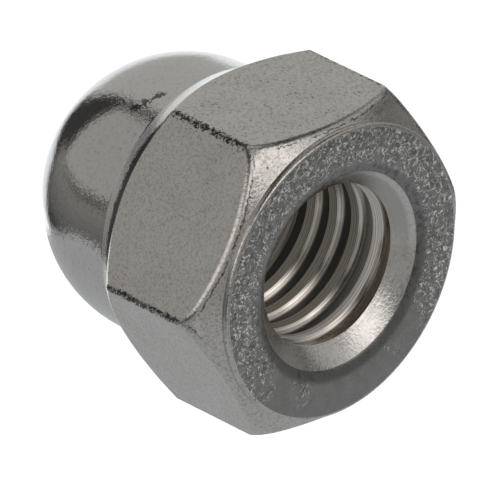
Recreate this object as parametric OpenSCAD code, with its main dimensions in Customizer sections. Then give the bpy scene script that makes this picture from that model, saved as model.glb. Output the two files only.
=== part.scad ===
// Domed cap nut, M8 coarse, forged and machined in one piece of stainless steel.
//
// The blank is a turned profile (washer face, both chamfers, shoulder and dome)
// kept only where it lies inside the hexagon, which gives the curved edges that
// a chamfering tool leaves on flats. A second profile is the tool path of the
// blind hole: funnel mouth, tapping bore, relief behind the thread, drill point.
// The nut lies on one flat. Its axis is Y: open face at y = 0, dome towards +Y.

/* [Hexagon] */
// Width across the flats, the size of the spanner
across_flats = 13; // [12.7:0.1:16]
// Height of the hexagon, from the bearing face to the shoulder
hex_height = 6.6; // [5:0.1:8]
// Radius of the six long corners
corner_r = 0.35; // [0.15:0.05:0.8]

/* [Bearing side] */
// How far the washer face lies inside the flats
washer_inset = 0.25; // [0.15:0.05:0.5]
// Height of the washer face's rim before the chamfer starts
washer_h = 0.28; // [0.18:0.02:0.5]
// Radius of the washer face's outer edge
washer_edge_r = 0.15; // [0.05:0.01:0.17]
// Slope of the bearing side chamfer, measured from the bearing face
front_chamfer = 35; // [20:1:45]
// How far inside the hexagon's corners that chamfer starts to roll over
corner_roll_in = 0.55; // [0.3:0.05:0.8]
// Radius of the roll, which blunts the six front corners
corner_roll_r = 1.5; // [1.4:0.1:3]

/* [Dome side] */
// How far the flat shoulder lies inside the flats
shoulder_inset = 0.06; // [0.05:0.01:0.2]
// Slope of the dome side chamfer, measured from the shoulder
back_chamfer = 41; // [20:1:50]
// Radius of the dome's round end
dome_r = 5.82; // [5.4:0.02:5.84]
// Taper of the dome's wall below the round end, per side
dome_draft = 3; // [1:0.5:4]
// Height of the cone in which the dome's wall flares out to the shoulder
flare_height = 1; // [0.5:0.05:1.3]
// Width of the flat ring that is left of the shoulder outside that cone
shoulder_land = 0.06; // [0.03:0.01:0.1]
// Total height of the nut, from the bearing face to the top of the dome
total_height = 14.8; // [14.4:0.1:18]

/* [Threaded hole] */
// Diameter of the tapping bore, which the thread's crests keep
bore_d = 6.8; // [6.4:0.05:6.9]
// Depth of the full-width hole, from the bearing face
bore_depth = 11.1; // [10:0.1:11.2]
// Diameter of the relief behind the thread
relief_d = 8.5; // [7.6:0.05:8.6]
// Length of the relief, both ramps included
relief_length = 5; // [3:0.1:6]
// Slope of the relief's ramps, measured from the bore's wall
relief_slope = 45; // [30:1:60]
// Point angle of the tapping drill
drill_point = 118; // [90:1:140]
// Diameter where the mouth's rounded lip leaves the bearing face
mouth_d = 9.6; // [9:0.1:10.2]
// Radius of the rounded lip
lip_r = 1.2; // [0.3:0.05:1.3]
// Full angle of the funnel between the lip and the bore
mouth_angle = 90; // [80:1:120]

/* [Hidden] */
// Curves are true circles in the exact build, and this fine in a preview.
$fn = 96;
// Overlap of shapes that are joined, and run-out of cuts
lap = 0.5;
// How far a straight run reaches into the arc it leaves, so that the two meet cleanly
seam = 0.001;
// Steps in the rounding of one corner
corner_steps = 6;

// Hexagon
flat_r = across_flats / 2;
corner_reach = flat_r / cos(30);
// Distance from the axis to the centre of a corner's rounding
corner_centre = (flat_r - corner_r) / cos(30);

// Turned blank
washer_r = flat_r - washer_inset;
shoulder_r = flat_r - shoulder_inset;
// Centre of the arc in which the front chamfer rolls over towards the corners
roll_x = corner_reach - corner_roll_in - corner_roll_r * sin(front_chamfer);
roll_z = washer_h + (corner_reach - corner_roll_in - washer_r) * tan(front_chamfer)
    + corner_roll_r * cos(front_chamfer);
blank_r = roll_x + corner_roll_r - seam;
// Height at which the back chamfer's slope reaches the blank's radius
back_reach = hex_height - (blank_r - shoulder_r) * tan(back_chamfer);

// Dome: a ball on a slightly tapered neck that is tangent to it
ball_z = total_height - dome_r;
tangent_r = dome_r * cos(dome_draft);
tangent_z = ball_z + dome_r * sin(dome_draft);
// Radius of the tapered neck at height z
function neck_r(z) = tangent_r + (tangent_z - z) * tan(dome_draft);
// The cone between the shoulder and the tapered wall
flare_r = shoulder_r - shoulder_land;
flare_end = hex_height + flare_height;

// Hole
bore_r = bore_d / 2;
relief_r = relief_d / 2;
// Where the rounded lip runs into the funnel
funnel_slope = 90 - mouth_angle / 2;
lip_x = mouth_d / 2 - (lip_r - seam) * sin(funnel_slope);
lip_z = lip_r - (lip_r - seam) * cos(funnel_slope);
// Where the funnel runs into the bore, which is where the thread's wall starts
wall_start = lip_z + (lip_x - bore_r) / tan(mouth_angle / 2);
relief_start = bore_depth - relief_length;
ramp = (relief_r - bore_r) / tan(relief_slope);
point_depth = bore_r / tan(drill_point / 2);

// Every part of the model, by the name that shows it alone
// The part to show, or all

// Hexagon seen along the nut's axis, each corner rounded in even steps.
module hexagon_2d() {
    polygon([for (corner = [0:60:300], turn = [-30:60 / corner_steps:30])
        corner_centre * [cos(corner), sin(corner)]
        + corner_r * [cos(corner + turn), sin(corner + turn)]]);
}

// Half section of the turned blank: radius along X, height along Y.
module blank_2d() {
    rim_x = washer_r - washer_edge_r;
    // Washer face, chamfers and shoulder
    polygon([
        [0, 0], [rim_x, 0], [washer_r, washer_edge_r], [washer_r, washer_h],
        [roll_x + (corner_roll_r - seam) * sin(front_chamfer),
            roll_z - (corner_roll_r - seam) * cos(front_chamfer)],
        [blank_r, roll_z], [blank_r, back_reach],
        [shoulder_r, hex_height], [0, hex_height]
    ]);
    translate([rim_x, washer_edge_r]) circle(washer_edge_r);
    translate([roll_x, roll_z]) circle(corner_roll_r);
    // Flared and tapered neck
    polygon([
        [0, hex_height - lap], [flare_r, hex_height - lap], [flare_r, hex_height],
        [neck_r(flare_end), flare_end], [tangent_r, tangent_z], [0, tangent_z]
    ]);
    // Round end
    intersection() {
        translate([0, ball_z]) circle(dome_r);
        translate([0, hex_height]) square([dome_r + lap, total_height]);
    }
}

// Half section of the blind hole, from in front of the bearing face inwards.
module hole_2d() {
    difference() {
        polygon([
            [0, -lap], [mouth_d / 2, -lap], [mouth_d / 2, 0], [lip_x, lip_z],
            [bore_r, wall_start], [bore_r, relief_start],
            [relief_r, relief_start + ramp], [relief_r, bore_depth - ramp],
            [bore_r, bore_depth], [0, bore_depth + point_depth]
        ]);
        translate([mouth_d / 2, lip_r]) circle(lip_r);
    }
}

// The whole nut, standing on its bearing face.
module nut_upright() {
    difference() {
        intersection() {
            rotate_extrude() blank_2d();
            translate([0, 0, -lap]) linear_extrude(total_height + 2 * lap) hexagon_2d();
        }
        rotate_extrude() hole_2d();
    }
}

// The nut laid on one flat, open face towards -Y.
module cap_nut() {
    color("#8c8983") rotate([-90, 0, 0]) nut_upright();
}

cap_nut();
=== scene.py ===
# %% [markdown]
# # A stainless cap nut on a pale table
#
# The object is one domed cap nut: a hexagon with a washer face at the open end, a
# polished dome at the other, and a blind threaded hole. It is a single piece of steel,
# so the lesson is about surfaces: how each tool in the factory left its own edge, curve
# and finish on the same lump of metal. The construction model gives the true size, and
# this file models the piece again with softer edges, a real helical thread and finishes.

# %% Load the construction model
import bmesh
import bpy
from math import atan2, cos, degrees, hypot, pi, radians, sin, tan
from mathutils import Matrix, Vector


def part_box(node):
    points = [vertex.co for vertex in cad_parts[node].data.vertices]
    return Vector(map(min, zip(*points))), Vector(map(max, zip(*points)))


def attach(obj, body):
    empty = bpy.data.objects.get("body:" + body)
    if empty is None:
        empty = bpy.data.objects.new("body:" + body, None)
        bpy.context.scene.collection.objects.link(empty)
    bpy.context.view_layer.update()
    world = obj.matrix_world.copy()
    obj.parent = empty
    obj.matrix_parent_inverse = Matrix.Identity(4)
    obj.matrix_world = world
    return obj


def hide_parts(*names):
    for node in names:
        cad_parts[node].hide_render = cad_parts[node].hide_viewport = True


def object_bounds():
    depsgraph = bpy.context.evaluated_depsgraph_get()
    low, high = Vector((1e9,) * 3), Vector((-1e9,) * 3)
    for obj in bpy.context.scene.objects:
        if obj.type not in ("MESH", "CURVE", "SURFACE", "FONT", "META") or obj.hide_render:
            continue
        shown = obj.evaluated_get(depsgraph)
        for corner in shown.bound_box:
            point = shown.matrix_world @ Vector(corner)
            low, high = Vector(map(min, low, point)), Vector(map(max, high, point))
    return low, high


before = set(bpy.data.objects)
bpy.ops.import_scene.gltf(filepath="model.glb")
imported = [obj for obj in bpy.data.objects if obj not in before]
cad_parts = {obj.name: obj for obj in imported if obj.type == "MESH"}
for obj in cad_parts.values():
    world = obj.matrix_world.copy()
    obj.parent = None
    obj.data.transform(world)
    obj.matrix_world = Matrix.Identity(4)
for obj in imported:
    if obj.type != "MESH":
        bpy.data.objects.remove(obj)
construction_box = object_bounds()

# %% [markdown]
# Blender's tools like numbers near one better than numbers near a thousandth. So the
# piece is modelled with one unit for a millimetre and shrunk to metres at the end. The
# widths come from the construction model's box, so that the two can't drift apart.

# %% The nut's main sizes, in millimetres
MM = 0.001
low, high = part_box("cap_nut")
across_flats = (high.z - low.z) / MM
total_height = (high.y - low.y) / MM
flat_r = across_flats / 2
corner_reach = flat_r / cos(radians(30))
hex_height = 6.6
print("across flats", round(across_flats, 3), "height", round(total_height, 3))

# %% [markdown]
# An operator works on all that is selected, and the construction model comes in
# selected. So each step starts with a helper that deselects everything.

# %% Deselect everything
def nothing_selected():
    """Leave edit mode and deselect every object."""
    if bpy.context.mode != "OBJECT":
        bpy.ops.object.mode_set(mode="OBJECT")
    bpy.ops.object.select_all(action="DESELECT")


nothing_selected()
print("selected objects:", len(bpy.context.selected_objects))

# %% [markdown]
# A nut like this starts as hexagonal bar: a six-sided cylinder laid along the axis,
# longer than the nut at both ends. It is made with a corner on top, and a twelfth of a
# turn puts a flat there. Its corners stay sharp for now, because all the outside edges
# are rolled round together when every cut is done.

# %% The hexagonal bar
spare_length = 4
nothing_selected()
bpy.ops.mesh.primitive_cylinder_add(
    vertices=6, radius=corner_reach, depth=total_height + spare_length,
    location=(0, total_height / 2, 0), rotation=(radians(90), 0, 0))
nut = bpy.context.object
nut.name = "cap_nut_steel"
bpy.ops.object.transform_apply(location=True, rotation=True, scale=True)
bpy.ops.object.mode_set(mode="EDIT")
bpy.ops.mesh.select_all(action="SELECT")
bpy.ops.transform.rotate(value=radians(30), orient_axis="Y", center_override=(0, 0, 0))
bpy.ops.object.mode_set(mode="OBJECT")
print("bar across the corners", round(nut.dimensions.x, 3), "and the flats", round(nut.dimensions.z, 3))

# %% [markdown]
# The lathe gives the nut every round form. Its tool follows a profile, drawn here as a
# chain of edges: one vertex is extruded from point to point. A plane, merged to its
# centre, is the quickest way to get that vertex.

# %% Draw a profile from point to point
def start_profile(name, radius, height):
    """Begin a chain with one vertex at a radius and a height along the axis."""
    nothing_selected()
    bpy.ops.mesh.primitive_plane_add(size=0.1, location=(0, 0, 0))
    bpy.context.object.name = name
    bpy.ops.object.mode_set(mode="EDIT")
    bpy.ops.mesh.select_mode(type="VERT")
    bpy.ops.mesh.select_all(action="SELECT")
    bpy.ops.mesh.merge(type="CENTER")
    bpy.ops.transform.translate(value=(radius, height, 0))
    return bpy.context.object


def last_point():
    """Where the chain's end is now."""
    mesh = bmesh.from_edit_mesh(bpy.context.object.data)
    return next(corner.co.copy() for corner in mesh.verts if corner.select)


def line_to(*points):
    """Extrude the chain's end to each (radius, height) in turn."""
    for radius, height in points:
        here = last_point()
        bpy.ops.mesh.extrude_region_move(
            TRANSFORM_OT_translate={"value": (radius - here.x, height - here.y, 0)})


print("profiles: radius along X, height along Y")

# %% [markdown]
# Where the profile is an arc, the same end vertex is spun about the arc's centre. The
# finished chain is spun once more, the whole way round the axis, which is how a lathe
# makes a solid. The first and last copies then lie on each other and are merged, and
# the normals are turned outwards, because a spin doesn't promise which way they face.

# %% Turn arcs and solids
LATHE_STEPS, SAME_POINT = 192, 0.0005


def arc_to(centre, turn, steps):
    """Turn the chain's end about a centre, by degrees that are positive towards the dome."""
    bpy.ops.mesh.spin(steps=steps, angle=-radians(turn), center=(*centre, 0), axis=(0, 0, 1))


def turn_on_lathe():
    """Spin the whole chain about the nut's axis and close it into a solid."""
    solid = bpy.context.object
    bpy.ops.mesh.select_all(action="SELECT")
    bpy.ops.mesh.spin(steps=LATHE_STEPS, angle=2 * pi, center=(0, 0, 0), axis=(0, 1, 0))
    bpy.ops.mesh.select_all(action="SELECT")
    bpy.ops.mesh.remove_doubles(threshold=SAME_POINT)
    bpy.ops.mesh.normals_make_consistent(inside=False)
    bpy.ops.object.mode_set(mode="OBJECT")
    return solid


print("one step of the lathe turns", 360 / LATHE_STEPS, "degrees")

# %% [markdown]
# The turned form begins at the bearing face: a washer face a little narrower than the
# flats, with a rounded rim, and then the front chamfer. The chamfer is a straight cone
# until it nears the hexagon's corners, where it rolls over in an arc and blunts them.

# %% Sizes of the washer face and the front chamfer
washer_r, washer_h, washer_edge_r = flat_r - 0.25, 0.28, 0.15
front_chamfer = radians(35)
corner_roll_in, corner_roll_r = 0.55, 1.5
roll_start = corner_reach - corner_roll_in
roll_centre = (roll_start - corner_roll_r * sin(front_chamfer),
               washer_h + (roll_start - washer_r) * tan(front_chamfer) + corner_roll_r * cos(front_chamfer))
outside_r = roll_centre[0] + corner_roll_r
print("washer face radius", round(washer_r, 3), "roll ends at radius", round(outside_r, 3))

# %% [markdown]
# On the far side a steeper chamfer leads to a narrow shoulder. The dome's wall flares
# out to that shoulder in a short cone, with a soft curve where the cone meets the wall.
# The wall leans in by three degrees and runs without a kink into the round end.

# %% Sizes of the shoulder, the neck and the dome
back_chamfer = radians(41)
shoulder_r, shoulder_land = flat_r - 0.06, 0.06
dome_r, dome_draft = 5.82, radians(3)
flare_height, flare_soft = 1.0, 0.5
ball = total_height - dome_r
wall_r, wall_end = dome_r * cos(dome_draft), ball + dome_r * sin(dome_draft)
flare_r, flare_end = shoulder_r - shoulder_land, hex_height + flare_height
neck_r = wall_r + (wall_end - flare_end) * tan(dome_draft)
flare_lean = atan2(flare_r - neck_r, flare_height)
flare_cut = flare_soft * tan((flare_lean - dome_draft) / 2)
soft_start = (neck_r + flare_cut * sin(flare_lean), flare_end - flare_cut * cos(flare_lean))
soft_centre = (soft_start[0] + flare_soft * cos(flare_lean), soft_start[1] + flare_soft * sin(flare_lean))
print("the flare leans", round(degrees(flare_lean), 1), "degrees, neck radius", round(neck_r, 3))

# %% [markdown]
# The profile runs from the axis at the bearing face to the top of the dome. The front
# chamfer is drawn in twelve short lines and not in one, because the bar's flats will cut
# across it in curves, and short faces let those curves come out smooth.

# %% Draw and turn the outside
cone_steps = 12
start_profile("turned_form", 0, 0)
line_to((washer_r - washer_edge_r, 0))
arc_to((washer_r - washer_edge_r, washer_edge_r), 90, steps=5)
line_to((washer_r, washer_h))
for step in range(1, cone_steps + 1):
    cone_r = washer_r + (roll_start - washer_r) * step / cone_steps
    line_to((cone_r, washer_h + (cone_r - washer_r) * tan(front_chamfer)))
arc_to(roll_centre, 90 - degrees(front_chamfer), steps=24)
line_to((outside_r, hex_height - (outside_r - shoulder_r) * tan(back_chamfer)),
        (shoulder_r, hex_height),
        (flare_r, hex_height),
        soft_start)
arc_to(soft_centre, -degrees(flare_lean - dome_draft), steps=5)
line_to((wall_r, wall_end))
arc_to((0, ball), 90 - degrees(dome_draft), steps=40)
print("profile ends at", [round(value, 4) for value in last_point()])
turned = turn_on_lathe()

# %% [markdown]
# The nut is what the bar and the turned form have in common. A Boolean modifier finds it
# and is applied at once, so that the next tool works on a plain mesh. Where the cone
# leaves a flat it draws the curved edge that every chamfered nut shows.

# %% Keep what lies inside both the bar and the turned form
def cut(piece, tool, operation):
    """Combine a piece with a tool by a Boolean modifier, and clear the tool away."""
    nothing_selected()
    bpy.context.view_layer.objects.active = piece
    piece.select_set(True)
    bpy.ops.object.modifier_add(type="BOOLEAN")
    boolean = piece.modifiers[-1]
    boolean.operation, boolean.solver, boolean.object = operation, "EXACT", tool
    bpy.ops.object.modifier_apply(modifier=boolean.name)
    bpy.data.objects.remove(tool)
    print(piece.name, operation.lower(), len(piece.data.polygons), "faces")


cut(nut, turned, "INTERSECT")
print("outside", [round(v, 3) for v in nut.dimensions])

# %% [markdown]
# The hole is drilled, bored and given its mouth before it is tapped. Its tool is
# another turned profile, drawn from in front of the nut inwards: the rounded lip, the
# funnel that leads the bolt in, a core a little smaller than the thread's crests, the
# wider relief where the tap runs out, and the drill's point.

# %% Sizes of the hole
crest_r, root_r, pitch = 3.4, 4.02, 1.25
core_r = crest_r - 0.1
mouth_r, lip_r, funnel = 4.8, 1.2, radians(45)
bore_depth, relief_r, relief_length = 11.1, 4.25, 5.0
relief_start = bore_depth - relief_length
drill_point = bore_depth + crest_r / tan(radians(118 / 2))
funnel_end = lip_r * (1 - cos(funnel)) + mouth_r - lip_r * sin(funnel) - crest_r
lip_turn = radians(30)
lip_end_r, lip_end = mouth_r - lip_r * sin(lip_turn), lip_r * (1 - cos(lip_turn))
funnel_slope = (funnel_end - lip_end) / (lip_end_r - crest_r)
print("lip ends at radius", round(lip_end_r, 3), "funnel meets the crests at", round(funnel_end, 3))

# %% [markdown]
# The tool is drawn and turned as the outside was, and the Boolean takes away what it
# reaches. The funnel runs on at its own slope down to the core.

# %% Cut the blind hole
in_front, relief_overlap = -1, 0.1
start_profile("hole_tool", 0, in_front)
line_to((mouth_r, in_front), (mouth_r, 0))
arc_to((mouth_r, lip_r), -degrees(lip_turn), steps=8)
line_to((core_r, lip_end + (lip_end_r - core_r) * funnel_slope),
        (core_r, relief_start - relief_overlap),
        (relief_r, relief_start + relief_r - crest_r),
        (relief_r, bore_depth - relief_r + crest_r),
        (crest_r, bore_depth),
        (0, drill_point))
drill = turn_on_lathe()
cut(nut, drill, "DIFFERENCE")

# %% [markdown]
# The thread is one helical groove. A groove could be faked with rings or a bump, but a
# real helix is what the eye follows into a hole. One pitch of its profile, from crest
# to root and back, is drawn here. The flanks stand at thirty degrees, and both the root
# and the edges of the crests are softened, because a tap's teeth are never sharp.

# %% Draw one pitch of the groove
tap_end = 7.71
flank = tan(radians(30))
half_root = pitch / 16
half_groove = half_root + (root_r - crest_r) * flank
groove_start = tap_end - 2 * half_groove
groove_middle = groove_start + half_groove
crest_soft, root_soft, root_land = 0.1, 0.05, 0.04
crest_reach = crest_soft * tan(radians(30))
flank_end_r = crest_r + crest_soft * (1 - cos(radians(60)))

tap = start_profile("tap", crest_r, tap_end + crest_reach - pitch)
line_to((crest_r, groove_start - crest_reach))
arc_to((crest_r + crest_soft, groove_start - crest_reach), -60, steps=4)
line_to((root_r - root_soft, groove_middle - half_root - root_soft * flank),
        (root_r, groove_middle - root_land),
        (root_r, groove_middle + root_land),
        (root_r - root_soft, groove_middle + half_root + root_soft * flank),
        (flank_end_r, tap_end + crest_reach - crest_soft * sin(radians(60))))
arc_to((crest_r + crest_soft, tap_end + crest_reach), -60, steps=4)
print("tap profile ends at", [round(value, 4) for value in last_point()])

# %% [markdown]
# The screw operator turns that profile about the axis and lifts it by its own length
# each time, so each turn's end meets the next turn's start. The tool is longer than the
# thread, so that the groove fades out in the funnel and in the relief. Both ends are
# capped with a fan to a point on the axis, because a Boolean needs a closed tool.

# %% Screw the profile into a tap
def pick(kind, test):
    """In edit mode, select only the vertices, edges or faces that pass the test."""
    bpy.ops.mesh.select_all(action="DESELECT")
    bpy.ops.mesh.select_mode(type={"verts": "VERT", "edges": "EDGE", "faces": "FACE"}[kind])
    mesh = bmesh.from_edit_mesh(bpy.context.object.data)
    chosen = [part for part in getattr(mesh, kind) if test(part)]
    for part in chosen:
        part.select_set(True)
    mesh.select_flush_mode()
    bmesh.update_edit_mesh(bpy.context.object.data)
    return len(chosen)


def middle(part):
    """The middle of an edge or a face."""
    return sum((corner.co for corner in part.verts), Vector()) / len(part.verts)


def close_end(belongs):
    """Cap one helical end of the tap with a fan to a point on the axis."""
    pick("edges", lambda e: e.is_boundary and belongs(middle(e).y))
    bpy.ops.mesh.extrude_edges_move()
    bpy.ops.mesh.merge(type="CENTER")


bpy.ops.mesh.select_all(action="SELECT")
bpy.ops.mesh.screw(steps=LATHE_STEPS // 2, turns=7, center=(0, 0, 0), axis=(0, -1, 0))
bpy.ops.mesh.select_all(action="SELECT")
bpy.ops.mesh.remove_doubles(threshold=SAME_POINT)
halfway = 2
close_end(lambda height: height < halfway)
close_end(lambda height: height > halfway)
bpy.ops.mesh.select_all(action="SELECT")
bpy.ops.mesh.normals_make_consistent(inside=False)
mesh = bmesh.from_edit_mesh(tap.data)
print("tap", len(mesh.faces), "faces from", round(min(v.co.y for v in mesh.verts), 3), "to",
      round(max(v.co.y for v in mesh.verts), 3), "open edges", sum(e.is_boundary for e in mesh.edges))
bpy.ops.object.mode_set(mode="OBJECT")

# %% [markdown]
# A tap that starts at full depth would break through the funnel with sharp teeth. On a
# real nut the countersink took most of the first turn away. So the tap itself is first
# turned down: it is kept only inside a form that starts just above the crests and widens
# to the full root two turns further in.

# %% Turn the tap down at its start, and tap the hole
shallow_r, full_r = crest_r + 0.05, root_r + 0.08
lead_low, shallow_end, full_start, lead_high = -3, 1.0, 3.2, 9
start_profile("lead", 0, lead_low)
line_to((shallow_r, lead_low),
        (shallow_r, shallow_end),
        (full_r, full_start),
        (full_r, lead_high),
        (0, lead_high))
lead = turn_on_lathe()
cut(tap, lead, "INTERSECT")
cut(nut, tap, "DIFFERENCE")

# %% [markdown]
# No outside edge is a knife edge: the bar was drawn with rounded corners, and a tumbling
# barrel rolled over the curved edges. They are bevelled after every Boolean, because a
# Boolean is only sure of faces that don't fold over each other. A bevel needs clear
# ground beside its edge, so slivers are merged and near ring lines are dissolved.

# %% Clear the ring lines beside the curved edges
flat_turns = [radians(30 + 60 * side) for side in range(6)]
clear_ground, sliver, level_step = 0.245, 0.003, 0.001
chamfer_low, least_slope, near_side = 0.3, 0.05, flat_r - 0.01


def from_axis(point):
    """Distance from the nut's axis, which is Y."""
    return hypot(point.x, point.z)


def inside_flats(point):
    """How deep a point lies below the nearest of the six flats."""
    return min(flat_r - point.x * cos(turn) - point.z * sin(turn) for turn in flat_turns)


def steepness(edge):
    """How much the two faces of an edge face along the axis, the smaller one first."""
    return sorted(abs(face.normal.y) for face in edge.link_faces)


def ring_line(edge):
    """True for a line of the lathe's rings on the front chamfer, close to a curved edge."""
    first, second = (corner.co for corner in edge.verts)
    level = abs(first.y - second.y) < level_step and chamfer_low < first.y < hex_height / 2
    near = min(inside_flats(first), inside_flats(second)) < clear_ground
    return level and near and steepness(edge)[0] > least_slope


nothing_selected()
bpy.context.view_layer.objects.active = nut
bpy.ops.object.mode_set(mode="EDIT")
pick("verts", lambda v: from_axis(v.co) > near_side)
bpy.ops.mesh.remove_doubles(threshold=sliver)
cleared = pick("edges", ring_line)
bpy.ops.mesh.dissolve_edges(use_verts=True)
print("ring lines dissolved:", cleared)

# %% [markdown]
# Each edge's weight says how wide it is rolled. The long corners of the bar are the
# roundest, the front edges were knocked about and are nearly as round, and the rear ones
# stay crisp. Close to a corner the rear edges get wider in two steps, so that the bands
# flow into the corner's band without a pinch.

# %% Find the outside edges and give them their weights
along_axis, near_corner, on_side = 0.99, corner_reach - 0.01, flat_r - 0.02
side_slope, chamfer_slope = 0.02, 0.2


def long_corner(edge):
    """True for one of the six long corners of the hexagon."""
    direction = (edge.verts[0].co - edge.verts[1].co).normalized()
    return abs(direction.y) > along_axis and from_axis(middle(edge)) > near_corner


def curved_edge(edge, near_front):
    """True for an edge where a chamfer meets the hexagon's side."""
    slopes = steepness(edge)
    outside = from_axis(middle(edge)) > on_side and (middle(edge).y < hex_height / 2) == near_front
    return len(slopes) == 2 and slopes[0] < side_slope and slopes[1] > chamfer_slope and outside


roll_width, front_share, rear_share = 0.205, 0.83, 0.29
counts = [pick("edges", long_corner)]
bpy.ops.transform.edge_bevelweight(value=1)
counts.append(pick("edges", lambda e: curved_edge(e, True)))
bpy.ops.transform.edge_bevelweight(value=front_share)
counts.append(pick("edges", lambda e: curved_edge(e, False)))
bpy.ops.transform.edge_bevelweight(value=rear_share)
for closer in (0.35, 0.18):
    near = corner_reach - closer
    counts.append(pick("edges", lambda e: curved_edge(e, False) and from_axis(middle(e)) > near))
    bpy.ops.transform.edge_bevelweight(value=(front_share - rear_share) / 2)
bpy.ops.object.mode_set(mode="OBJECT")
print("long corners, front, rear and near-corner edges", counts)

# %% [markdown]
# The modifier multiplies its width by each edge's weight. Six segments make a band that
# mirrors one unbroken line of light. The clamp is off, because it would narrow every
# band to suit the shortest edge anywhere on the nut.

# %% Roll them with one bevel
bpy.ops.object.modifier_add(type="BEVEL")
bevel = nut.modifiers[-1]
bevel.limit_method = "WEIGHT"
bevel.width = roll_width
bevel.segments = 6
bevel.use_clamp_overlap = False
bpy.ops.object.modifier_apply(modifier=bevel.name)
print("faces", len(nut.data.polygons))

# %% [markdown]
# Points that the cuts left on each other are merged, and faces of many corners are split
# into triangles. Then the mesh is shrunk to metres about the origin, which leaves the
# object itself unmoved, unturned and unscaled.

# %% Clean the mesh and shrink it to metres
nothing_selected()
nut.select_set(True)
bpy.context.view_layer.objects.active = nut
bpy.ops.object.mode_set(mode="EDIT")
bpy.ops.mesh.select_all(action="SELECT")
bpy.ops.mesh.remove_doubles(threshold=SAME_POINT)
pick("faces", lambda f: len(f.verts) > 4)
bpy.ops.mesh.quads_convert_to_tris(quad_method="BEAUTY", ngon_method="BEAUTY")
bpy.ops.mesh.select_all(action="SELECT")
bpy.ops.transform.resize(value=(MM, MM, MM), center_override=(0, 0, 0))
bpy.ops.object.mode_set(mode="OBJECT")
print("triangles", sum(len(face.vertices) - 2 for face in nut.data.polygons),
      "size", [round(v / MM, 3) for v in nut.dimensions])

# %% [markdown]
# Smooth shading belongs on the round forms and not across the flats. Marking edges by
# their angle keeps the crisp ones, and weighting each corner's normal by the size of
# its faces keeps a big flat face flat right up to its narrow rolled edge.

# %% Smooth the shading
crisp_angle = radians(28)
bpy.ops.object.shade_smooth_by_angle(angle=crisp_angle)
bpy.ops.object.modifier_add(type="WEIGHTED_NORMAL")
nut.modifiers[-1].keep_sharp = True
bpy.ops.object.modifier_apply(modifier=nut.modifiers[-1].name)
print("modifiers left on the nut:", len(nut.modifiers))

# %% [markdown]
# All of the nut is one steel, and what differs from place to place is how the last tool
# left it. So each finish starts from the same bare metal and gets its own grain. The
# nodes are wired in code by one helper that takes plain values and other nodes' outputs
# alike, so that a pattern can be written like a sum.

# %% Add a node, and do sums with nodes
def add(owner, kind, inputs, **settings):
    """Add a node, and give each input a value or another node's output."""
    node = owner.node_tree.nodes.new("ShaderNode" + kind)
    for setting, value in settings.items():
        setattr(node, setting, value)
    for key, value in inputs.items():
        if isinstance(value, bpy.types.NodeSocket):
            owner.node_tree.links.new(value, node.inputs[key])
        else:
            node.inputs[key].default_value = value
    return node


def sums(owner, operation, first, second=0.0):
    """Do one sum, such as ADD or MAXIMUM, with two values or outputs."""
    return add(owner, "Math", {0: first, 1: second}, operation=operation).outputs[0]


def times(owner, *factors):
    """Multiply values or outputs with each other."""
    product = factors[0]
    for factor in factors[1:]:
        product = sums(owner, "MULTIPLY", product, factor)
    return product


def ramp(owner, value, start, end, low=0.0, high=1.0):
    """Map a value from start to end smoothly onto low to high."""
    return add(owner, "MapRange", {"Value": value, "From Min": start, "From Max": end, "To Min": low,
                                   "To Max": high}, interpolation_type="SMOOTHSTEP").outputs["Result"]


print("node helpers: add, sums, times, ramp")

# %% [markdown]
# A pattern reads the object's own coordinates, so it stays put on the steel. They come
# in metres, while a tool's marks are fractions of a millimetre, so one mapping node
# turns them into millimetres. Stretching them again gives a pattern a direction.

# %% Bare steel with a ruler in it
def shader_of(metal):
    """The shader that the patterns of a metal end in."""
    return metal.node_tree.nodes["Principled BSDF"]


def bare_steel(name, colour, roughness, metallic=1.0):
    """A metal whose patterns are measured in millimetres."""
    made = bpy.data.materials.new(name)
    made.use_nodes = True
    shader_of(made).inputs["Base Color"].default_value = (*colour, 1)
    shader_of(made).inputs["Metallic"].default_value = metallic
    shader_of(made).inputs["Roughness"].default_value = roughness
    metres = add(made, "TexCoord", {}).outputs["Object"]
    add(made, "Mapping", {"Vector": metres, "Scale": (1 / MM, 1 / MM, 1 / MM)}, name="millimetres")
    return made


def ruler(metal, stretch=(1, 1, 1)):
    """Coordinates in millimetres, stretched where a pattern has a direction."""
    plain = metal.node_tree.nodes["millimetres"].outputs["Vector"]
    if stretch == (1, 1, 1):
        return plain
    return add(metal, "Mapping", {"Vector": plain, "Scale": stretch}).outputs["Vector"]


def xyz(metal):
    """The three coordinates one by one, as outputs X, Y and Z."""
    return add(metal, "SeparateXYZ", {"Vector": ruler(metal)}).outputs


def radius(metal):
    """Distance from the nut's axis, in millimetres."""
    part = xyz(metal)
    flat = add(metal, "CombineXYZ", {"X": part["X"], "Z": part["Z"]}).outputs["Vector"]
    return add(metal, "VectorMath", {0: flat}, operation="LENGTH").outputs["Value"]


print("the ruler's scale is", 1 / MM)

# %% [markdown]
# Two textures make all the marks. Noise gives grain, streaks and clouds, and some cells
# of a Voronoi texture give separate round pits. Noise also frays a measure, such as the
# distance from the axis, so that a line drawn at one value of it isn't ruled but ragged.

# %% Grain, pits and frayed lines
def unevenness(metal, per_mm, detail=3.0, stretch=(1, 1, 1), rough=0.55, swirl=0.0):
    """Soft random unevenness from 0 to 1, with about per_mm bumps in a millimetre."""
    return add(metal, "TexNoise", {"Vector": ruler(metal, stretch), "Scale": per_mm, "Detail": detail,
                                   "Roughness": rough, "Distortion": swirl}).outputs["Fac"]


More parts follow.
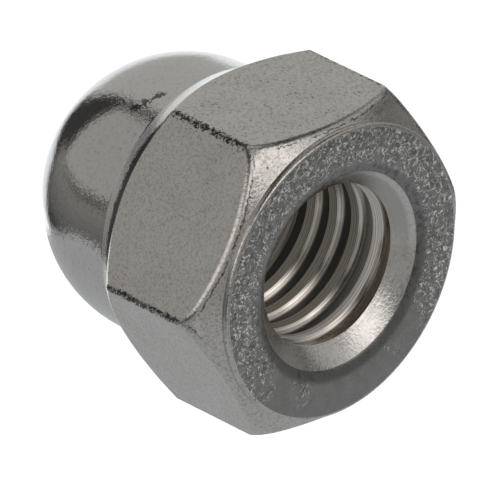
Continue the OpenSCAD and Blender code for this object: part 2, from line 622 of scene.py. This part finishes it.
def pits(metal, per_mm, size, share):
    """Round pits in some cells of a Voronoi pattern, 1 in a pit and 0 elsewhere."""
    cells = add(metal, "TexVoronoi", {"Vector": ruler(metal), "Scale": per_mm})
    chance = add(metal, "SeparateColor", {"Color": cells.outputs["Color"]}).outputs["Red"]
    inside = ramp(metal, cells.outputs["Distance"], size, size * 0.4)
    return times(metal, inside, ramp(metal, chance, share, share - 0.05))


def frayed(metal, value, per_mm, reach, start=0.3, end=0.7, swirl=1.0):
    """The value, wandering up and down by as much as reach."""
    wander = ramp(metal, unevenness(metal, per_mm, swirl=swirl), start, end, -reach, reach)
    return sums(metal, "ADD", value, wander)


print("materials so far:", len(bpy.data.materials))

# %% [markdown]
# A pattern tints the colour, embosses the surface through a bump, or drives how rough or
# metallic the steel is, and each one goes on top of those before it. The bump does the
# most: it breaks the edges of the reflections, and that tells the eye more about metal
# than its colour does.

# %% Lay a pattern on the steel
MIX_UNDER, MIX_OVER, MIXED = 6, 7, 2


def tint(metal, factor, colour):
    """Lay a colour over the metal, as thickly as the factor says."""
    base = shader_of(metal).inputs["Base Color"]
    under = base.links[0].from_socket if base.is_linked else base.default_value
    colours = {"Factor": factor, MIX_UNDER: under, MIX_OVER: (*colour, 1)}
    blend = add(metal, "Mix", colours, data_type="RGBA")
    metal.node_tree.links.new(blend.outputs[MIXED], base)


def emboss(metal, height, micrometres):
    """Raise the surface where height is 1, or sink it by a negative amount."""
    normal = shader_of(metal).inputs["Normal"]
    inputs = {"Height": height, "Distance": micrometres * 1e-6, "Strength": 1.0}
    if normal.is_linked:
        inputs["Normal"] = normal.links[0].from_socket
    metal.node_tree.links.new(add(metal, "Bump", inputs).outputs["Normal"], normal)


def drive(metal, socket, value, low, high, start=0.0, end=1.0):
    """Let a pattern from start to end move a socket of the shader from low to high."""
    metal.node_tree.links.new(ramp(metal, value, start, end, low, high), shader_of(metal).inputs[socket])


def shine(metal, value, low, high):
    """Let a pattern drive the roughness, low where the steel is smoothest."""
    drive(metal, "Roughness", value, low, high, 0.25, 0.75)


def report(metal):
    """Print how many nodes a finish took."""
    print(metal.name, "finish:", len(metal.node_tree.nodes), "nodes")


print("the mix node's colour sockets:", MIX_UNDER, MIX_OVER)

# %% [markdown]
# The flats were rolled on the bar and then tumbled: a fine grain all over, a few small
# pits that hold dirt, faint streaks along the bar, and dark flecks, most of them on the
# top flat. On the long corners, farthest from the axis, a thin ragged near-black line is
# painted: a painted dark reflection of the rolled corners.

# %% Rolled flats: the marks
rolled = bare_steel("rolled flats", (0.56, 0.55, 0.525), 0.24)
grain = unevenness(rolled, 9, rough=0.7)
flecks = ramp(rolled, unevenness(rolled, 10, detail=2, stretch=(1, 0.6, 1), swirl=0.6), 0.6, 0.7)
streaks = unevenness(rolled, 9, stretch=(1, 0.12, 1))
dirt = pits(rolled, 5, size=0.2, share=0.12)
cloud = unevenness(rolled, 0.6)
upper = ramp(rolled, xyz(rolled)["Z"], 5.6, 6.4, 0.35, 1)
knocked = times(rolled, upper, ramp(rolled, cloud, 0.35, 0.6, 0.4, 1))
flecks = times(rolled, flecks, knocked)
# Painted dark reflection: a thin ragged near-black line along the long corners.
corner_line_low_r, corner_line_high_r = 7.415, 7.435
corner = frayed(rolled, radius(rolled), 6, 0.035, 0.35, 0.65)
painted_dark_corner_line = ramp(rolled, corner, corner_line_low_r, corner_line_high_r, 0, 0.92)
report(rolled)

# %% [markdown]
# The marks are laid on from the faintest to the darkest, with the painted corner line over all.

# %% Rolled flats: colour and relief
tint(rolled, ramp(rolled, cloud, 0.35, 0.7, 0, 0.4), (0.49, 0.465, 0.43))
tint(rolled, ramp(rolled, grain, 0.46, 0.64, 0, 0.6), (0.33, 0.315, 0.295))
tint(rolled, flecks, (0.2, 0.185, 0.165))
tint(rolled, times(rolled, dirt, 0.5), (0.18, 0.17, 0.16))
# The painted dark reflection on the long corners.
tint(rolled, painted_dark_corner_line, (0.035, 0.033, 0.03))
emboss(rolled, grain, 9)
emboss(rolled, streaks, 3)
emboss(rolled, flecks, -8)
emboss(rolled, dirt, -8)
shine(rolled, unevenness(rolled, 4), 0.2, 0.3)
report(rolled)

# %% [markdown]
# A form tool cut the chamfers, and its chatter left them speckled over fine rings. Their
# marks need the depth below the flats, which follows the curved edges all the way round,
# a band between two values, and the rings.

# %% Depth below the flats, bands and turning rings
def along(metal, direction):
    """How far a point lies along a direction, in millimetres."""
    vectors = {0: ruler(metal), 1: direction}
    return add(metal, "VectorMath", vectors, operation="DOT_PRODUCT").outputs["Value"]


def below_flats(metal):
    """How deep a point lies below the nearest of the six flats, in millimetres."""
    nearest = None
    for turn in (30, 90, 150):
        across = sums(metal, "ABSOLUTE", along(metal, (cos(radians(turn)), 0, sin(radians(turn)))))
        nearest = across if nearest is None else sums(metal, "MAXIMUM", nearest, across)
    return sums(metal, "SUBTRACT", flat_r, nearest)


def band(metal, value, start, end, soft):
    """1 between start and end, and 0 outside."""
    return times(metal, ramp(metal, value, start - soft, start), ramp(metal, value, end + soft, end))


def rings(metal, per_mm, wobble=0.02):
    """Fine turning marks that run round the axis, a little uneven in depth."""
    where = sums(metal, "ADD", radius(metal), times(metal, unevenness(metal, 2), wobble))
    line = add(metal, "CombineXYZ", {"X": where}).outputs["Vector"]
    return add(metal, "TexNoise", {"Vector": line, "Scale": per_mm, "Detail": 2.0}).outputs["Fac"]


print("the flats lie", round(flat_r, 3), "mm from the axis")

# %% [markdown]
# A thin broken dark line is painted along the curved edges of the upper half, just inside
# the rolled band: a painted dark reflection. On one side the rear edge is painted white and
# made less metallic: a painted highlight, a bright line along that rolled edge.

# %% Turned chamfers: the marks
chamfer = bare_steel("chamfers", (0.54, 0.525, 0.505), 0.24)
grain = unevenness(chamfer, 9, detail=4, swirl=0.4)
dirt = pits(chamfer, 5, size=0.3, share=0.12)
depth = below_flats(chamfer)
place = xyz(chamfer)
# Painted highlight: a white patch on one side of the rear edge.
painted_lighting = times(chamfer,
               ramp(chamfer, depth, 0.1, 0.06),
               ramp(chamfer, place["Y"], 4, 5, 0, 0.8),
               ramp(chamfer, place["X"], -4, -5),
               ramp(chamfer, place["Z"], 2.4, 1.2))
# Painted dark reflection: a broken dark line just inside the rolled band, upper half only.
dark_line_start, dark_line_end = 0.17, 0.2
edge = times(chamfer,
             band(chamfer, frayed(chamfer, depth, 4, 0.04), dark_line_start, dark_line_end, 0.02),
             ramp(chamfer, unevenness(chamfer, 1.2), 0.4, 0.5),
             ramp(chamfer, place["Z"], -1, 0))
report(chamfer)

# %% [markdown]
# The painted highlight on the rear edge is laid on last, over the other marks.

# %% Turned chamfers: colour and relief
tint(chamfer, ramp(chamfer, grain, 0.48, 0.66, 0, 0.7), (0.31, 0.29, 0.27))
# The painted dark reflection along the upper curved edges.
tint(chamfer, times(chamfer, edge, 0.85), (0.06, 0.057, 0.052))
tint(chamfer, times(chamfer, dirt, 0.6), (0.14, 0.13, 0.125))
# Painted highlight: the rear edge painted white and made less metallic.
tint(chamfer, painted_lighting, (1, 1, 1))
drive(chamfer, "Metallic", painted_lighting, 1, 0.4)
emboss(chamfer, grain, 11)
emboss(chamfer, rings(chamfer, 14), 3)
emboss(chamfer, dirt, -10)
shine(chamfer, unevenness(chamfer, 3), 0.2, 0.32)
report(chamfer)

# %% [markdown]
# The bearing face is the one the press struck. Its dark colour is partly the struck steel's
# own and partly painted shade, for the dark field that the face mirrors. It is covered with
# short curled marks that shine. They are the level lines of a soft noise, kept thin and then
# broken up by a finer noise. Towards the bottom the face was rubbed smoother, and the
# marks stop short of the mouth.

# %% Pressed bearing face: the curled marks
# Partly painted shade: the base colour is kept darker than the other steel.
pressed = bare_steel("pressed face", (0.235, 0.235, 0.228), 0.3)
levels, marks_inner_r, marks_full_r = 5, 4.5, 4.8
curls = sums(pressed, "FRACT", times(pressed, unevenness(pressed, 3.4, detail=2, swirl=0.8), levels))
curls = ramp(pressed, sums(pressed, "ABSOLUTE", sums(pressed, "SUBTRACT", curls, 0.5)), 0.26, 0.1)
broken = ramp(pressed, unevenness(pressed, 4), 0.42, 0.54)
upright = frayed(pressed, xyz(pressed)["Z"], 0.7, 1.5, swirl=0)
worn = ramp(pressed, upright, -4.5, -2.5)
curls = times(pressed, curls, broken, worn, ramp(pressed, radius(pressed), marks_inner_r, marks_full_r))
report(pressed)

# %% [markdown]
# Between the curls the struck steel is grainy, with dark hollows. The curls stand proud
# of it, which is why they are the part that handling polished.

# %% Pressed bearing face: colour and relief
grain = unevenness(pressed, 12)
hollows = ramp(pressed, unevenness(pressed, 4.5, detail=2, swirl=0.6), 0.5, 0.62)
tint(pressed, ramp(pressed, grain, 0.46, 0.62, 0, 0.5), (0.17, 0.17, 0.165))
tint(pressed, times(pressed, hollows, times(pressed, worn, 0.7)), (0.11, 0.11, 0.107))
tint(pressed, times(pressed, curls, 0.95), (0.82, 0.82, 0.8))
emboss(pressed, grain, 7)
emboss(pressed, curls, 16)
shine(pressed, unevenness(pressed, 2), 0.25, 0.38)
report(pressed)

# %% [markdown]
# A countersink opened the mouth. Its rings run round the axis, and the lip is smooth
# enough to mirror the lamp with a clear edge. The inner end of the funnel is painted darker
# on its upper side: painted shade that dims its reflection there.

# %% Countersunk mouth
mouth = bare_steel("mouth", (0.56, 0.55, 0.53), 0.2)
grain = unevenness(mouth, 8, detail=4, swirl=0.4)
marks = rings(mouth, 16)
painted_lighting = times(mouth, ramp(mouth, radius(mouth), 4.08, 3.9),
               ramp(mouth, xyz(mouth)["Z"], -1.6, 0.4))
tint(mouth, ramp(mouth, grain, 0.5, 0.68, 0, 0.5), (0.33, 0.32, 0.3))
# Painted shade on the inner end of the funnel's upper side.
tint(mouth, times(mouth, painted_lighting, 0.7), (0.34, 0.33, 0.31))
tint(mouth, ramp(mouth, marks, 0.58, 0.72, 0, 0.5), (0.22, 0.21, 0.195))
emboss(mouth, grain, 13)
emboss(mouth, marks, 5)
shine(mouth, unevenness(mouth, 3), 0.16, 0.26)
report(mouth)

# %% [markdown]
# A tap drags fine lines along the flanks, and they climb with the helix. So the pattern
# reads one number only: how far along the pitch a point lies, with its turn counted in.

# %% Lines that follow the helix
def along_thread(metal, per_mm):
    """Fine lines that follow the thread's helix, as a tap's teeth drag them."""
    part = xyz(metal)
    turn = sums(metal, "ARCTAN2", part["Z"], part["X"])
    climb = sums(metal, "ADD", part["Y"], times(metal, turn, pitch / (2 * pi)))
    within = sums(metal, "FRACT", sums(metal, "DIVIDE", climb, pitch))
    line = add(metal, "CombineXYZ", {"X": within}).outputs["Vector"]
    return add(metal, "TexNoise", {"Vector": line, "Scale": per_mm * pitch, "Detail": 2.0}).outputs["Fac"]


print("the helix climbs", round(pitch / 6, 3), "mm from one flat to the next")

# %% [markdown]
# The tap cut the flanks clean and bright. The part of each groove towards the root is
# painted near black and made less metallic: painted shade, where the next crest hides it
# from the light. A thin dark line is painted beside the crests. The painted shade is weak
# in the first turns, which the light reaches, and so is the line.

# %% Tapped thread
tapped = bare_steel("thread", (0.6, 0.57, 0.52), 0.17)
lines = along_thread(tapped, 18)
deep = ramp(tapped, xyz(tapped)["Y"], 1.5, 3.1)
# A thin dark line painted beside the crests, weak in the first turns.
crest_line = times(tapped, band(tapped, radius(tapped), 3.41, 3.45, 0.015), deep)
# Painted shade: the root side of the grooves, deeper in.
painted_root_shade = times(tapped, ramp(tapped, radius(tapped), 3.62, 3.74), ramp(tapped, deep, 0, 1, 0.15, 0.97))
tint(tapped, ramp(tapped, lines, 0.44, 0.6, 0, 0.6), (0.2, 0.185, 0.165))
tint(tapped, times(tapped, crest_line, 0.85), (0.05, 0.045, 0.035))
# The painted shade in the roots, weak in the first turns.
tint(tapped, painted_root_shade, (0.014, 0.012, 0.009))
drive(tapped, "Metallic", painted_root_shade, 1, 0.6)
emboss(tapped, lines, 7)
shine(tapped, unevenness(tapped, 4, stretch=(1, 6, 1)), 0.13, 0.22)
report(tapped)

# %% [markdown]
# The crests and the blind end still show the drill. Its marks climb with the thread as
# far as the tap went, and run in plain rings over the relief and the drill's point. The
# first crests are painted paler and made less metallic: painted light, for the light that
# reaches them near the mouth.

# %% Drilled crests and blind end
drilled = bare_steel("drilled crests", (0.22, 0.2, 0.168), 0.42, 0.6)
depth = xyz(drilled)["Y"]
near_mouth = ramp(drilled, depth, 2.4, 1.4)
change_start, change_end = 7.7, 8.3
climbing = times(drilled, along_thread(drilled, 14), ramp(drilled, depth, change_end, change_start))
level = times(drilled, rings(drilled, 7), ramp(drilled, depth, change_start, change_end))
lines = sums(drilled, "ADD", climbing, level)
# Painted light: the first crests painted paler near the mouth.
tint(drilled, near_mouth, (0.45, 0.435, 0.41))
tint(drilled, ramp(drilled, lines, 0.45, 0.6, 0, 0.85), (0.05, 0.044, 0.036))
drive(drilled, "Metallic", near_mouth, 0.6, 0.25)
emboss(drilled, lines, 7)
shine(drilled, unevenness(drilled, 3, detail=2, stretch=(1, 7, 1)), 0.45, 0.65)
report(drilled)

# %% [markdown]
# The dome was polished on a soft wheel. It mirrors the room, and the wheel left the skin
# very slightly wavy, which is why every edge in its reflections is frayed. One dark band
# is painted above the neck: a painted dark reflection, a band between two planes, with its
# ends trimmed.

# %% Polished dome
dome = bare_steel("polished dome", (0.54, 0.53, 0.515), 0.07)
waves = unevenness(dome, 5.5, rough=0.65)
dirt = pits(dome, 3.5, size=0.22, share=0.2)
# Painted dark reflection: a dark band above the neck.
dark_band_facing, dark_band_near, dark_band_far = (-0.365, -0.922, -0.127), -7.83, -7.6
across = along(dome, dark_band_facing)
place = xyz(dome)
painted_dark_band = times(dome,
              band(dome, frayed(dome, across, 6, 0.15), dark_band_near, dark_band_far, 0.03),
              band(dome, place["X"], -2.9, -1.85, 0.15),
              ramp(dome, place["Z"], 0, 1),
              ramp(dome, place["Y"], 9.1, 9.0))
tint(dome, ramp(dome, waves, 0.5, 0.65, 0, 0.5), (0.42, 0.41, 0.39))
tint(dome, times(dome, dirt, 0.4), (0.2, 0.19, 0.18))
# The painted dark reflection above the neck.
tint(dome, times(dome, painted_dark_band, 0.85), (0.04, 0.038, 0.034))
emboss(dome, waves, 12)
emboss(dome, dirt, -4)
shine(dome, unevenness(dome, 1.2), 0.035, 0.08)
report(dome)

# %% [markdown]
# The polishing wheel doesn't reach into the corner between the dome and the hexagon. The
# flare there keeps the lathe's satin finish, and its outer part, in the crease by the
# shoulder, is painted dark: painted shade. At the top and underneath the painted shade keeps
# to a thin ragged line, and a near-white strip is painted beside it: a painted highlight.

# %% Turned neck
satin = bare_steel("turned neck", (0.56, 0.55, 0.53), 0.26, 0.8)
shade_line_r, shade_line_full_r, sheen_line_shift = 6.09, 6.19, 0.17
upright = xyz(satin)["Z"]
painted_sheen_zone = sums(satin, "MAXIMUM", ramp(satin, upright, 4.6, 5.5), ramp(satin, upright, -1, -2.5))
ragged = frayed(satin, radius(satin), 5, 0.05)
ragged = sums(satin, "SUBTRACT", ragged, times(satin, painted_sheen_zone, sheen_line_shift))
bright = sums(satin, "ADD", radius(satin), ramp(satin, upright, 4.9, 6.1, 0, 0.26))
# Painted highlight: a near-white strip at the top and underneath.
tint(satin, times(satin, painted_sheen_zone, ramp(satin, bright, 6.1, 6.22)), (0.9, 0.9, 0.89))
# Painted shade: a ragged dark band in the crease by the shoulder.
tint(satin, ramp(satin, ragged, shade_line_r, shade_line_full_r, 0, 0.92), (0.03, 0.028, 0.025))
emboss(satin, unevenness(satin, 7, stretch=(1, 3, 1)), 6)
report(satin)

# %% [markdown]
# One mesh carries all eight finishes. A face finds its finish by where it lies and which
# way it looks. Faces that look towards the axis belong to the hole. Outside it, the
# height tells the dome and the bearing face, and the slope tells a chamfer from a flat.

# %% Name the finish of a face
hole_r, countersink_r, countersink_end, countersink_lean = 5, 3.3, 0.95, -0.6
inward, flat_slope, neck_slope = -0.05, 0.1, 0.2
off_face, on_face, crest_band, shoulder_low = 0.0001, 0.002, crest_r + 0.02, hex_height - 0.005


def region_of(face):
    """The name of the finish that a face gets."""
    where, out, lean = middle(face) / MM, from_axis(middle(face)) / MM, face.normal.y
    outward = face.normal.x * where.x + face.normal.z * where.z
    if outward < inward and out < hole_r and where.y > off_face:
        if where.y < lip_end:
            return "pressed face"
        if where.y < countersink_end and lean < countersink_lean and out > countersink_r:
            return "mouth"
        return "drilled crests" if out < crest_band or where.y > tap_end else "thread"
    if where.y > shoulder_low:
        return "turned neck" if where.y < flare_end and lean > neck_slope else "polished dome"
    if where.y < on_face:
        return "pressed face"
    return "chamfers" if abs(lean) > flat_slope else "rolled flats"


finishes = (rolled, chamfer, pressed, mouth, tapped, drilled, satin, dome)
print("finishes:", [metal.name for metal in finishes])

# %% [markdown]
# Assigning works as by hand: pick the faces, make a slot the active one, and assign it.
# The nut then takes the solid's place and rides on the only body there is. The table's
# diffuse rays pass through it, so that its shadow stays pale.

# %% Give each region its finish
for metal in finishes:
    nut.data.materials.append(metal)
bpy.ops.object.mode_set(mode="EDIT")
for slot_number, metal in enumerate(finishes):
    count = pick("faces", lambda f: region_of(f) == metal.name)
    nut.active_material_index = slot_number
    bpy.ops.object.material_slot_assign()
    print(metal.name, count)
bpy.ops.object.mode_set(mode="OBJECT")
nut.visible_diffuse = False
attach(nut, "root")
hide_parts("cap_nut")

# %% [markdown]
# A polished dome shows the whole room. Two angles name a place in it: the azimuth, which
# is 0 in front of the open face and grows to the right, and the elevation.

# %% Directions in the room
centre = (construction_box[0] + construction_box[1]) / 2


def towards(azimuth, elevation):
    """Unit vector from the nut to a place in the room."""
    a, e = radians(azimuth), radians(elevation)
    return Vector((sin(a) * cos(e), -cos(a) * cos(e), sin(e)))


print("middle of the nut, in mm:", [round(v / MM, 2) for v in centre])

# %% [markdown]
# The walls of the room are area lamps that only show as reflections, so each can be
# placed by what the steel mirrors. Two coordinates run from 0 to 1 across a lamp. With
# them its edges are softened, its light grows from bottom to top, or its right edge is
# cut at a slant, as by a sloping ceiling.

# %% How bright a panel is across its surface
def brightness(lamp, soft, fade, slant):
    """The strength of a panel that has soft edges, a faded bottom or a slanted side."""
    across = add(lamp, "NewGeometry", {}).outputs["Parametric"]
    split = add(lamp, "SeparateXYZ", {"Vector": across}).outputs
    if fade != 1:
        return add(lamp, "MapRange", {"Value": split["Y"], "To Min": fade, "To Max": 1}).outputs["Result"]
    if slant:
        line = {0: split["Y"], 1: slant, 2: 1 - slant}
        reach = add(lamp, "Math", line, operation="MULTIPLY_ADD").outputs[0]
        return sums(lamp, "GREATER_THAN", reach, split["X"])
    return times(lamp, *[ramp(lamp, split[axis], start, end)
                         for axis in "XY" for start, end in ((0, soft), (1, 1 - soft))])


def into_scene(name, data):
    """Put a lamp or a camera into the scene as an object."""
    made = bpy.data.objects.new(name, data)
    bpy.context.scene.collection.objects.link(made)
    return made


def lamp_panel(name, where, facing, wide, high, strength, colour, soft=0.0, fade=1.0, slant=0.0):
    """A panel that only shows as a reflection in the steel."""
    lamp = bpy.data.lights.new(name, "AREA")
    lamp.shape = "RECTANGLE"
    lamp.size = wide
    lamp.size_y = high
    lamp.color = colour
    lamp.energy = strength * pi * wide * high
    lamp.use_nodes = True
    if soft or slant or fade != 1:
        emission = lamp.node_tree.nodes["Emission"]
        lamp.node_tree.links.new(brightness(lamp, soft, fade, slant), emission.inputs["Strength"])
    panel = into_scene(name, lamp)
    panel.location = centre + where
    panel.rotation_euler = facing
    panel.visible_camera = panel.visible_diffuse = False
    print(name, "panel", round(wide, 2), "by", round(high, 2), "m")


print("watts for a square metre of strength 1:", round(pi, 3))

# %% [markdown]
# A wall stands a metre away between two azimuths and two elevations, and may lean a
# little. A card lies level, above the nut or below it.

# %% Walls and cards
def wall(name, left, right, bottom, top, strength, colour, lean=0, **shape):
    """An upright panel between two azimuths and two elevations, in degrees."""
    azimuth, wide = (left + right) / 2, 2 * tan(radians(abs(right - left) / 2))
    sole, head = tan(radians(bottom)), tan(radians(top))
    flat = towards(azimuth, 0)
    facing = flat.to_track_quat("Z", "Y").to_matrix() @ Matrix.Rotation(radians(lean), 3, "Z")
    lamp_panel(name, flat + Vector((0, 0, (sole + head) / 2)), facing.to_euler(), wide, head - sole,
               strength, colour, **shape)


def level_card(name, elevation, across, strength, colour):
    """A level panel above or below the nut, across degrees wide."""
    facing = towards(0, elevation).to_track_quat("Z", "Y").to_euler()
    size = 2 * tan(radians(across / 2))
    lamp_panel(name, towards(0, elevation), facing, size, size, strength, colour)


warm, pink, cool = (1.0, 0.985, 0.95), (1.0, 0.95, 0.93), (0.95, 0.975, 1.0)
print("a wall of 60 degrees is", round(2 * tan(radians(30)), 3), "m wide")

# %% [markdown]
# The room has a bright key in front, grey walls on both sides and a white sweep low at
# the back right. The gaps between them matter as much: they are the dark fields that
# give a polished form its depth. The card below stands for the pale table.

# %% The panels round the nut
wall("key", -38, 26, 17, 58, 1.5, pink, soft=0.2)
wall("key skirt", -24, 50, 6, 44, 0.35, warm, soft=0.4)
wall("front right wall", 15, 100, 12, 52, 0.5, warm, soft=0.2)
wall("front fill", -20, 122, -36, 10, 0.22, warm)
wall("beside the camera", -56, -20, -28, 34, 0.36, warm)
wall("left front strip", -103, -56, -2, 40, 1.3, pink, soft=0.15)
wall("left wall", -172.5, -103, 2.5, 51, 0.42, warm, lean=5)
wall("right wall", 102, 185.5, 1, 59.3, 0.52, warm, slant=0.295)
wall("white sweep", 118, 158, -31, 1, 1.05, cool)
wall("white sweep end", 158, 173, -31, -13, 1.05, cool)
wall("low back", -181, -100, -28, -1.5, 0.25, warm, fade=0.3)
level_card("ceiling", 90, 30, 0.5, warm)
level_card("table glow", -90, 122, 0.46, cool)

# %% [markdown]
# The table is a plain pale plane at the height of the flat that the nut lies on, and it
# is staged, because it isn't part of the object. The steel mirrors the card below in
# its place, so it throws no shadow and doesn't show in reflections.

# %% The table
table_size, table_grey, table_roughness = 4, 0.86, 0.9
nothing_selected()
bpy.ops.mesh.primitive_plane_add(size=table_size, location=(0, 0, low.z))
floor = bpy.context.object
floor.name = "pale_table"
paint = bpy.data.materials.new("pale table")
paint.use_nodes = True
shader_of(paint).inputs["Base Color"].default_value = (table_grey, table_grey, table_grey, 1)
shader_of(paint).inputs["Roughness"].default_value = table_roughness
floor.data.materials.append(paint)
floor.visible_glossy = False
floor.visible_shadow = False
print("table at", round(floor.location.z / MM, 3), "mm")

# %% [markdown]
# The world gives the table its even light and has to stay dim in the steel, or the dark
# fields would turn grey. A light path node tells the two apart. The view transform is
# the standard one, so that the table stays as pale as its paint.

# %% Light all round
world_on_table, world_in_steel = 1.05, 0.055
world = bpy.data.worlds.new("studio")
world.use_nodes = True
glossy_ray = add(world, "LightPath", {}).outputs["Is Glossy Ray"]
dimmer = add(world, "MapRange", {"Value": glossy_ray, "To Min": world_on_table, "To Max": world_in_steel})
background = world.node_tree.nodes["Background"]
background.inputs["Color"].default_value = (1, 1, 1, 1)
world.node_tree.links.new(dimmer.outputs["Result"], background.inputs["Strength"])
bpy.context.scene.world = world
bpy.context.scene.view_settings.view_transform = "Standard"
print("world:", world_on_table, "on the table,", world_in_steel, "in the steel")

# %% [markdown]
# One broad lamp overhead gives the nut its soft shadow, so that it doesn't float. The
# steel doesn't mirror it.

# %% The overhead lamp
lamp_size, lamp_power, lamp_height = 0.5, 0.9, 0.6
lamp = bpy.data.lights.new("overhead", "AREA")
lamp.size = lamp_size
lamp.energy = lamp_power
overhead = into_scene("overhead", lamp)
overhead.location = centre + Vector((0, 0, lamp_height))
overhead.visible_camera = overhead.visible_glossy = False
print("overhead lamp", lamp_height, "m above the nut")

# %% [markdown]
# The camera stands far off for the nut's size, with a very long lens, so there is little
# perspective. Its directions come from two angles and a slight tilt of the horizon, and
# its aim is moved off the nut's middle until the nut sits well in the frame.

# %% The camera
view_azimuth, view_elevation, horizon_tilt = -42.89, 28.34, radians(-0.85)
aim_right, aim_down, camera_distance, focal_length = 1.428, 1.602, 0.6, 1086
back = towards(view_azimuth, view_elevation)
right = Vector((cos(radians(view_azimuth)), sin(radians(view_azimuth)), 0))
up = back.cross(right)
right, up = (right * cos(horizon_tilt) + up * sin(horizon_tilt),
             up * cos(horizon_tilt) - right * sin(horizon_tilt))
lens = bpy.data.cameras.new("camera")
lens.lens = focal_length
lens.clip_start, lens.clip_end = 0.05, 20
camera = into_scene("camera", lens)
camera.matrix_world = Matrix((right, up, back)).transposed().to_4x4()
camera.location = centre + right * aim_right * MM - up * aim_down * MM + back * camera_distance
bpy.context.scene.camera = camera
print("camera", camera_distance, "m away, lens", focal_length, "mm")
